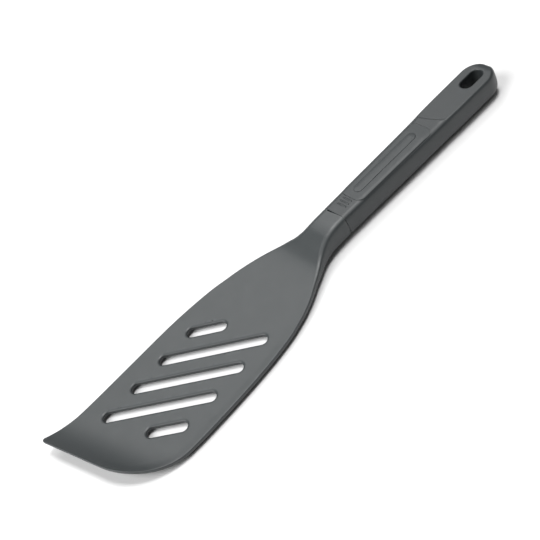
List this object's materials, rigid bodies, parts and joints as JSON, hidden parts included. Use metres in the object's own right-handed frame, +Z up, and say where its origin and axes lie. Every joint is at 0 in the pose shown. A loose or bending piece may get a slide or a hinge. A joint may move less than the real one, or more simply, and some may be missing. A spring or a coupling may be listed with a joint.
{
  "type": "slotted turner",
  "caption": "Dark grey slotted kitchen turner: wide blade with diagonal drain slots, slanted curled front edge, and a rounded handle with a thumb panel and hanging hole.",
  "frame": {"origin": "on the surface that the tool lies on, at the middle of its length and of the blade's width", "axes": "+X along the tool from the blade's tip to the handle's end, +Y towards the longer front corner, +Z up, out of the blade's upper face"},
  "size_m": [0.3489, 0.0801, 0.0173],
  "materials": {
    "head_nylon": "satin, finely eroded mould surface",
    "handle_nylon": "satin",
    "soft_grip": "soft matt, finely textured"
  },
  "bodies": {
    "root": {"head": "head_nylon", "handle": "handle_nylon", "grip_panel": "soft_grip"}
  },
  "joints": []
}
